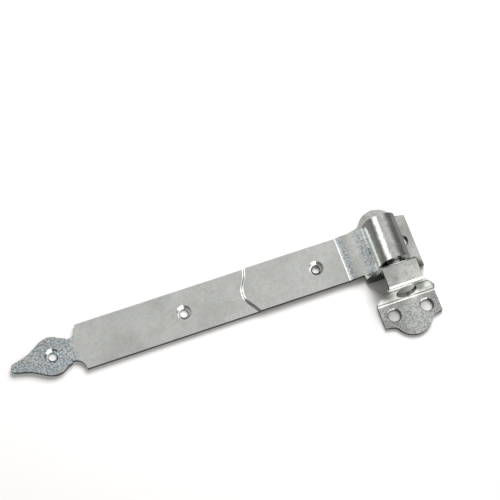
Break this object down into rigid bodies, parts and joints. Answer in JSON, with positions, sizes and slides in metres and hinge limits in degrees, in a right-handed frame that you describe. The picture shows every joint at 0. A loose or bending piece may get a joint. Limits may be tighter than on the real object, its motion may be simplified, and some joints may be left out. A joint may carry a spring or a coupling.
{
  "type": "strap hinge",
  "caption": "Strap gate hinge: spear-tipped strap with a rolled eye that turns on the pin of a folded, screw-on plate bracket.",
  "frame": {"origin": "on the back plane of the bracket's base plate, under the pin axis and under the middle of the eye", "axes": "+X along the strap from its spear tip towards the eye, +Y along the pin towards its free end, +Z away from the gate and its post"},
  "size_m": [0.3145, 0.1023, 0.0276],
  "materials": {
    "strap_zinc": "zinc plated, blotchy satin",
    "weld_zinc": "zinc plated weld bead",
    "bracket_zinc": "zinc plated, satin, bright along the bends",
    "pin_zinc": "zinc plated, turned"
  },
  "bodies": {
    "bracket": {"bracket": "bracket_zinc", "pin": "pin_zinc"},
    "strap": {"strap": "strap_zinc", "eye_weld": "weld_zinc"}
  },
  "joints": [
    {"name": "strap_swing", "type": "hinge", "parent": "bracket", "child": "strap", "pos_m": [0, 0, 0.01555], "axis": [0, 1, 0], "range_deg": [0, 180]}
  ]
}
